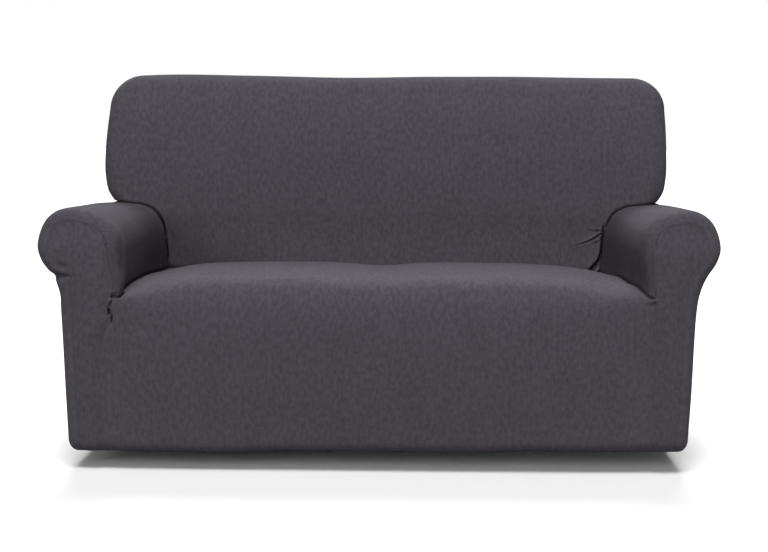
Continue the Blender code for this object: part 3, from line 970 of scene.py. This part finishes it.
class Shade:
    # A node's socket, or a tree with none yet, that sums and nodes are built from

    def __init__(self, tree, socket=None):
        self.tree = tree
        self.socket = socket

    def node(self, kind, settings, values, output=0):
        made = self.tree.nodes.new(kind)
        for name, value in settings.items():
            setattr(made, name, value)
        for key, value in values.items():
            if isinstance(value, Shade):
                self.tree.links.new(value.socket, made.inputs[key])
            else:
                made.inputs[key].default_value = value
        return Shade(self.tree, made.outputs[output]) if made.outputs else None

    def math(self, operation, a, b=0.0):
        return self.node("ShaderNodeMath", {"operation": operation}, {0: a, 1: b})

    def __add__(self, other):
        return self.math("ADD", self, other)

    def __sub__(self, other):
        return self.math("SUBTRACT", self, other)

    def __rsub__(self, other):
        return self.math("SUBTRACT", other, self)

    def __mul__(self, other):
        return self.math("MULTIPLY", self, other)

    def __truediv__(self, other):
        return self.math("DIVIDE", self, other)

    __radd__, __rmul__ = __add__, __mul__


knit = {
    "slot": "heather_knit",
    "darkYarn": (0.030, 0.0265, 0.034, 1.0),
    "paleYarn": (0.128, 0.118, 0.141, 1.0),
    "paleShare": 0.37,
    "streak": (0.0092, 0.0160),      # width and length of the heather's streaks
    "streakContrast": 0.43,
    "fleck": (0.0012, 0.0050),
    "fleckContrast": 0.19,
    "cloud": 0.060,                  # size of the faint darker and paler areas
    "cloudContrast": 0.10,
    "stitch": (0.0014, 0.0010),      # width and height of one knitted loop
    "stitchDepth": 0.00022,
    "roughness": 0.92,
    "specular": 0.12,
}


def knitMaterial():
    material = bpy.data.materials.new("heatherKnit")
    material.use_nodes = True
    tree = material.node_tree
    tree.nodes.clear()
    base = Shade(tree)
    place = base.node("ShaderNodeUVMap", {"uv_map": "cut"}, {})

    def stretchedNoise(width, length, detail, shift):
        scale = (1 / width, 1 / length, 1.0)
        spot = base.node("ShaderNodeMapping", {}, {"Vector": place, "Scale": scale,
                                                   "Location": (shift, shift * 0.7, shift)})
        settings = {"noise_dimensions": "2D"}
        return base.node("ShaderNodeTexNoise", settings, {"Vector": spot, "Scale": 1.0,
                                                          "Detail": detail, "Roughness": 0.6})

    streak = stretchedNoise(*knit["streak"], 2.0, 3.0)
    fleck = stretchedNoise(*knit["fleck"], 1.0, 11.0)
    cloud = stretchedNoise(knit["cloud"], knit["cloud"] * 2, 1.0, 5.0)
    pale = (streak - 0.5) * knit["streakContrast"] + (fleck - 0.5) * knit["fleckContrast"]
    pale = pale + (cloud - 0.5) * knit["cloudContrast"] + knit["paleShare"]
    pale = base.node("ShaderNodeClamp", {}, {"Value": pale})
    colour = base.node("ShaderNodeMix", {"data_type": "RGBA"},
                       {0: pale, 6: knit["darkYarn"], 7: knit["paleYarn"]}, 2)

    # Loops of the knit: a zigzag in each column
    across = base.node("ShaderNodeSeparateXYZ", {}, {0: place}, "X") / knit["stitch"][0]
    upward = base.node("ShaderNodeSeparateXYZ", {}, {0: place}, "Y") / knit["stitch"][1]
    leg = base.math("ABSOLUTE", base.math("FRACT", across) - 0.5)
    loops = base.math("SINE", (upward + leg * 1.3) * (2 * pi))
    wale = base.math("SINE", across * (2 * pi) + pi / 2)
    height = loops * 0.35 - wale * 0.5 + (fleck - 0.5) * 0.8
    bumped = base.node("ShaderNodeBump", {}, {"Strength": 1.0, "Distance": knit["stitchDepth"],
                                              "Height": height})
    shader = base.node("ShaderNodeBsdfPrincipled", {}, {
        "Base Color": colour,
        "Roughness": knit["roughness"],
        "Specular IOR Level": knit["specular"],
        "Normal": bumped,
    })
    base.node("ShaderNodeOutputMaterial", {}, {"Surface": shader})
    return material


# Where the cover sits a little unevenly. Each is a soft push on all the cloth near a line of
# places: its reach, the move and the places, in millimetres.
nudges = (
    # Left side of the seat
    (80, (0, 0, -10), ((-600, 160, 445), (-600, 300, 450), (-600, 440, 445))),
    (55, (0, 0, -8), ((-600, 560, 445), (-540, 560, 450))),
    # Inner edge of the left arm's front
    (60, (17, 0, 0), ((-625, 20, 555), (-625, 20, 475))),
    # Neck under the left arm's roll
    (30, (4, 0, 0), ((-766, 20, 450), (-762, 20, 430))),
    # Left end of the seat's seam
    (55, (0, 0, -7), ((-610, 40, 438), (-610, 80, 442))),
    (42, (20.5, 0, 0), ((-652, 0, 445), (-655, 0, 375))),
    # Right side of the seat
    (105, (0, 0, -19), ((560, 530, 440), (600, 520, 440), (605, 460, 445))),
    (65, (0, 0, -4), ((605, 360, 445), (608, 260, 445), (612, 180, 445))),
    (50, (4.5, 0, 3.5), ((618, 80, 442), (628, 30, 436))),
    # Tops of the arms' fronts, which fall away to the rear
    (52, (0, 13, -1), ((-810, 0, 580), (-720, 0, 612), (-645, 0, 600))),
    (52, (0, 13, -1), ((810, 0, 580), (720, 0, 612), (645, 0, 600))),
    # Front of the seat
    (50, (0, -3, 10), ((-450, 10, 450), (0, 10, 450), (450, 10, 450))),
    # Rear of the seat, lowest in its middle
    (100, (0, 0, -9), ((-500, 470, 465), (0, 470, 465), (450, 470, 465))),
    (85, (0, 0, -6), ((0, 380, 470), (0, 460, 465), (0, 540, 450))),
    # Foot of the back
    (85, (0, -9, 0), ((-560, 595, 425), (0, 595, 425), (560, 595, 425))),
    # Top of the back, which falls away to the rear
    (120, (0, 12, 0), ((-660, 630, 960), (0, 630, 955), (660, 630, 955))),
    (55, (0, 15, 0), ((-660, 640, 952), (0, 640, 948), (660, 640, 948))),
    # The hem, lower on the left than on the right
    (70, (0, 0, -6), ((-750, 20, 60), (-600, -10, 60), (-360, -10, 60))),
    (70, (0, 0, 3.5), ((360, -10, 60), (600, -10, 60), (750, 20, 60))),
)

# Creases along lines of places: the width at both ends, a depth that is negative for a ridge,
# the shares of the line over which each end fades, the height of the lips beside it and the
# way it opens. Lengths are in millimetres.
def crease(places, widths, depth, fades=(0.4, 0.4), lips=0.2, opens=(0, 0, 0)):
    return {"places": places, "widths": np.array(widths) / 1000, "depth": depth / 1000,
            "fades": fades, "lips": lips, "opens": opens}


creases = (
    # Fold under the left arm's roll, and the soft arcs above it
    crease(((-786, 60, 462), (-778, 22, 466), (-768, 6, 468.5), (-756, 1, 469), (-744, 0, 469),
           (-732, -2, 468.5), (-722, -3, 468)), (9.5, 2.2), 16.5, fades=(0.35, 0.7), lips=0.0),
    crease(((-775, 0, 532), (-758, -2, 538), (-739, -3, 542)), (9, 7), -1.6),
    crease(((-770, 0, 504), (-750, -1, 493), (-728, -3, 489)), (7, 6), 1.8),
    # Left arm's front, drawn up from the end of the seat's seam
    crease(((-649, 0, 509), (-649, 0, 480), (-648, 1, 449)), (3, 2.6), 1),
    crease(((-640, 2, 504), (-640, 3, 475), (-639, 4, 446)), (3.4, 2.8), -0.9),
    crease(((-657, 0, 504), (-656, 0, 471), (-655, 0, 437)), (3.4, 2.8), -0.8),
    # Inner edge of the left arm's front, filled out
    crease(((-661.4, 1, 581.3), (-652.2, 1, 562.4), (-643.1, 1, 538.6), (-634.3, 1, 495.8),
           (-631, 1, 462)), (3.6, 3.2), -1, lips=0.0),
    # Left end of the seat's seam: a tuck, the lip over it and the curl below
    crease(((-614, 40, 431), (-621, 20, 425), (-628, 8, 422), (-637, 3, 420)), (2.2, 2), 7,
           fades=(0.3, 0.25), lips=0.1, opens=(0, -1, 0.2)),
    crease(((-618, 14, 438), (-627, 4, 433), (-637, 1, 430)), (4, 3.4), -3),
    crease(((-627, -1, 418), (-634, -2, 413), (-639.5, -3, 404), (-641, -3, 394)), (3.6, 3.2),
           -3.6),
    crease(((-627, -2, 412), (-632, -3, 407), (-635, -3, 399), (-636, -3, 391)), (2.2, 2.4), 2),
    crease(((-637.5, -3, 395), (-637.5, -3, 388), (-637, -4, 381), (-636.5, -4, 374)), (2.8, 2.6),
           12.5, fades=(0.3, 0.3), lips=0.1),
    crease(((-633, -4, 382), (-632.5, -4, 373), (-632.5, -4, 362), (-632.5, -4, 351)), (2.8, 2.4),
           10, fades=(0.3, 0.4), lips=0.1),
    # Beside the back on the left: a slit, the pinch next to it and the back's own edge
    crease(((-616, 590, 566), (-609, 588, 546), (-605, 583, 522), (-602, 585, 493),
           (-600, 588, 458)), (5, 4), 19, fades=(0.35, 0.1), lips=0.1, opens=(0, -1, 0)),
    crease(((-603, 500, 490), (-604, 498, 474), (-604, 500, 456), (-604, 502, 444)), (3, 8), 11,
           fades=(0.8, 0.05)),
    # Beside the back on the right: the wedge that curves under the back's edge
    crease(((604, 590, 566), (603, 591, 546), (602, 593, 522), (601, 598, 498), (599, 602, 476),
           (593, 606, 456), (582, 606, 440), (568, 600, 426)), (3.6, 6.6), 24, fades=(0.35, 0.02),
           lips=0.12, opens=(0, -1, 0)),
    crease(((604, 590, 500), (603, 588, 478), (600, 586, 456), (597, 584, 436), (595, 582, 424)),
           (4, 9), 16, fades=(0.5, 0.05), lips=0.0, opens=(0, -1, 0)),
    # Puckers that fan out from the right arm's seam over the back
    crease(((601, 592, 534), (590, 592, 525), (580, 593, 518), (566, 594, 510), (550, 595, 503),
           (528, 596, 496), (501, 598, 488)), (2.6, 2.2), 5.6, fades=(0.1, 0.8), lips=0.3),
    crease(((600, 591, 541), (588, 592, 531), (574, 592, 522), (556, 594, 512), (534, 595, 504),
           (508, 596, 497)), (2.6, 2.4), -3.2, fades=(0.1, 0.7)),
    crease(((600, 591, 537), (588, 592, 536), (574, 592, 536), (558, 592, 537)), (2.2, 2.2), 3,
           fades=(0.1, 0.7), lips=0.3),
    crease(((602, 591, 543), (588, 592, 543), (568, 592, 544), (550, 592, 547)), (2.8, 2.6), -1.6,
           fades=(0.2, 0.7)),
    crease(((598, 593, 520), (586, 594, 513), (568, 595, 503), (548, 597, 492)), (2.6, 2.6), -1.8,
           fades=(0.2, 0.6)),
    crease(((598, 593, 513), (586, 594, 505), (570, 595, 496)), (2.4, 2.4), 1.4, fades=(0.2, 0.6)),
    # Right arm's front: a long ridge with a furrow inside it, and the end of the seat's seam
    crease(((649, 1, 572), (650, 0, 540), (651, 0, 512), (652, 0, 478)), (4, 3.4), -1.3),
    crease(((643, 3, 572), (644, 1, 540), (646, 0, 511), (647, 1, 484)), (3.4, 3), 1.1),
    crease(((640, 8, 431), (646, 3, 427), (653, 1, 425), (661, 0, 425)), (2.6, 2.4), 4.4,
           fades=(0.3, 0.5)),
    crease(((642, 2, 419), (650, -1, 417), (658, -1, 419), (665, -1, 423)), (4.4, 3.4), -3,
           fades=(0.3, 0.5)),
    crease(((652, -1, 419), (649, -2, 410), (647, -3, 398)), (3.4, 2.8), 1.8),
)

panels = {
    # piece:        (CAD node, patches, a place inside, flat width, length and area)
    "backCloth":     ("back_panel", backPatches(), (0.0, 0.74, 0.7), (1.72, 0.86, 1.20)),
    "seatCloth":     ("seat_panel", seatPatches(), (0.0, 0.3, 0.2), (1.32, 1.00, 1.22)),
    "armClothRight": ("arm_panel_right", armPatches(), (0.70, 0.3, 0.35), (0.92, 0.86, 0.68)),
    "armClothLeft":  ("arm_panel_left", armPatches(), (-0.70, 0.3, 0.35), (0.92, 0.86, 0.68)),
    "facingRight":   ("facing_right", facingPatches(), (0.69, 0.2, 0.3), (0.13, 0.57, 0.043)),
    "facingLeft":    ("facing_left", facingPatches(), (-0.69, 0.2, 0.3), (0.13, 0.57, 0.043)),
    "rearCloth":     ("rear_panel", rearPatches(), (0.0, 0.7, 0.4), (1.58, 0.93, 1.28)),
}

print("slipcover: cutting the panels")
sheets = {}
for name, (node, patches, inside, flat) in panels.items():
    if name.endswith("Left"):
        patches = [(onLeft(place), cut, across, along) for place, cut, across, along in patches]
    edge = (cloth["gap"], 0.0)
    if name.startswith("facing"):
        edge = (cloth["facingGap"], cloth["facingUnder"])
    sheets[name] = buildSheet(patches, inside, *edge)
    nudgeSheet(sheets[name])

print("slipcover: creases and seams")
noise.seed_set(cloth["wavesSeed"])      # or the unevenness would differ from run to run
trees = [bvhtree.BVHTree.FromBMesh(sheet) for sheet in sheets.values()]
lines = [layOnCloth(lineThrough(fold["places"], creasing["linePoints"]), trees, fold["opens"])
         for fold in creases]
for sheet in sheets.values():
    spots = placesOf(sheet)
    for (line, outward), fold in zip(lines, creases):
        if len(nearLine(spots, line, 2.5 * cloth["pitch"])):
            refineNear(sheet, line, min(fold["widths"]))
    shapeSheet(sheet, lines)
    sheet.normal_update()
drawInSeams(sheets)


def addObject(name, data):
    made = bpy.data.objects.new(name, data)
    bpy.context.scene.collection.objects.link(made)
    return made


print("slipcover: finishing the cloth")
heatherKnit = knitMaterial()
for name, sheet in sheets.items():
    node, patches, inside, flat = panels[name]
    mesh = bpy.data.meshes.new(name)
    for face in sheet.faces:
        face.smooth = True
    for edge in sheet.edges:
        edge.smooth = not edge.is_boundary      # the cloth's cut edge stays crisp
    sheet.to_mesh(mesh)
    sheet.free()
    mesh.materials.append(heatherKnit)
    piece = addObject(name, mesh)
    wall = piece.modifiers.new("wall", "SOLIDIFY")
    wall.thickness = cloth["thickness"]
    wall.offset = -1.0
    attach(piece, "root")
    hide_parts(node)
    print("  ", name, len(mesh.polygons), "faces")

studio = {
    "cameraPlace": (0.118, -3.5, 0.86),     # in the sofa's measures
    "pitch": 6.28,                          # degrees, downward
    "yaw": 1.64,                            # to the left
    "roll": 0.16,
    "lens": 69.89,
    "sensor": 36.0,
    "floorTone": (0.80, 0.80, 0.80, 1.0),
    "floorSize": 60.0,
    "ambient": 0.135,
    "lights": (
        # name,        elevation, azimuth from the front, spread, strength
        ("topLight",    70.0,        0.0,                  30.0,   0.828 * pi),
        ("frontLight",  30.0,        0.0,                  20.0,   0.203 * pi),
        ("leftLight",   15.0,      -25.0,                  20.0,   0.382 * pi),
        ("rightLight",   3.0,       80.0,                  12.0,   0.201 * pi),
        ("rearLight",   50.0,      180.0,                  30.0,   1.003 * pi),
    ),
}


def fromSofa(place):
    x, y, h = place
    return Vector((x, y - backShape["originDepth"], h - originHeight))


def addLight(name, elevation, azimuth, spread, strength):
    light = bpy.data.lights.new(name, "SUN")
    light.angle = radians(spread)
    light.energy = strength
    lamp = addObject(name, light)
    level = cos(radians(elevation))
    towards = Vector((level * sin(radians(azimuth)), -level * cos(radians(azimuth)),
                      sin(radians(elevation))))
    lamp.rotation_euler = towards.to_track_quat("Z", "Y").to_euler()


def addCamera():
    lens = bpy.data.cameras.new("camera")
    lens.lens = studio["lens"]
    lens.sensor_width = studio["sensor"]
    lens.sensor_fit = "HORIZONTAL"
    lens.clip_end = 100.0
    camera = addObject("camera", lens)
    turn = Matrix.Rotation(radians(studio["yaw"]), 4, "Z")
    turn = turn @ Matrix.Rotation(radians(90 - studio["pitch"]), 4, "X")
    turn = turn @ Matrix.Rotation(radians(studio["roll"]), 4, "Z")
    camera.matrix_world = Matrix.Translation(fromSofa(studio["cameraPlace"])) @ turn
    bpy.context.scene.camera = camera


def addFloor():
    bm = bmesh.new()
    bmesh.ops.create_grid(bm, x_segments=1, y_segments=1, size=studio["floorSize"] / 2)
    bmesh.ops.translate(bm, verts=bm.verts, vec=(0.0, 0.0, -originHeight))
    mesh = bpy.data.meshes.new("floor")
    bm.to_mesh(mesh)
    bm.free()
    floor = addObject("floor", mesh)
    material = bpy.data.materials.new("paleFloor")
    material.use_nodes = True
    shader = material.node_tree.nodes["Principled BSDF"]
    shader.inputs["Base Color"].default_value = studio["floorTone"]
    shader.inputs["Roughness"].default_value = 0.9
    shader.inputs["Specular IOR Level"].default_value = 0.0
    mesh.materials.append(material)
    floor.visible_diffuse = False        # its glow would flatten the cloth's folds


def addWorld():
    # White behind the cover, dimmer as light on it
    world = bpy.data.worlds.new("studio")
    bpy.context.scene.world = world
    world.use_nodes = True
    tree = world.node_tree
    tree.nodes.clear()
    base = Shade(tree)
    seen = base.node("ShaderNodeLightPath", {}, {}, "Is Camera Ray")
    strength = seen * (1.0 - studio["ambient"]) + studio["ambient"]
    light = base.node("ShaderNodeBackground", {}, {"Color": (1.0, 1.0, 1.0, 1.0),
                                                   "Strength": strength})
    base.node("ShaderNodeOutputWorld", {}, {"Surface": light})


print("slipcover: studio")
bpy.context.scene.view_settings.view_transform = "Standard"
addWorld()
addFloor()
for light in studio["lights"]:
    addLight(*light)
addCamera()
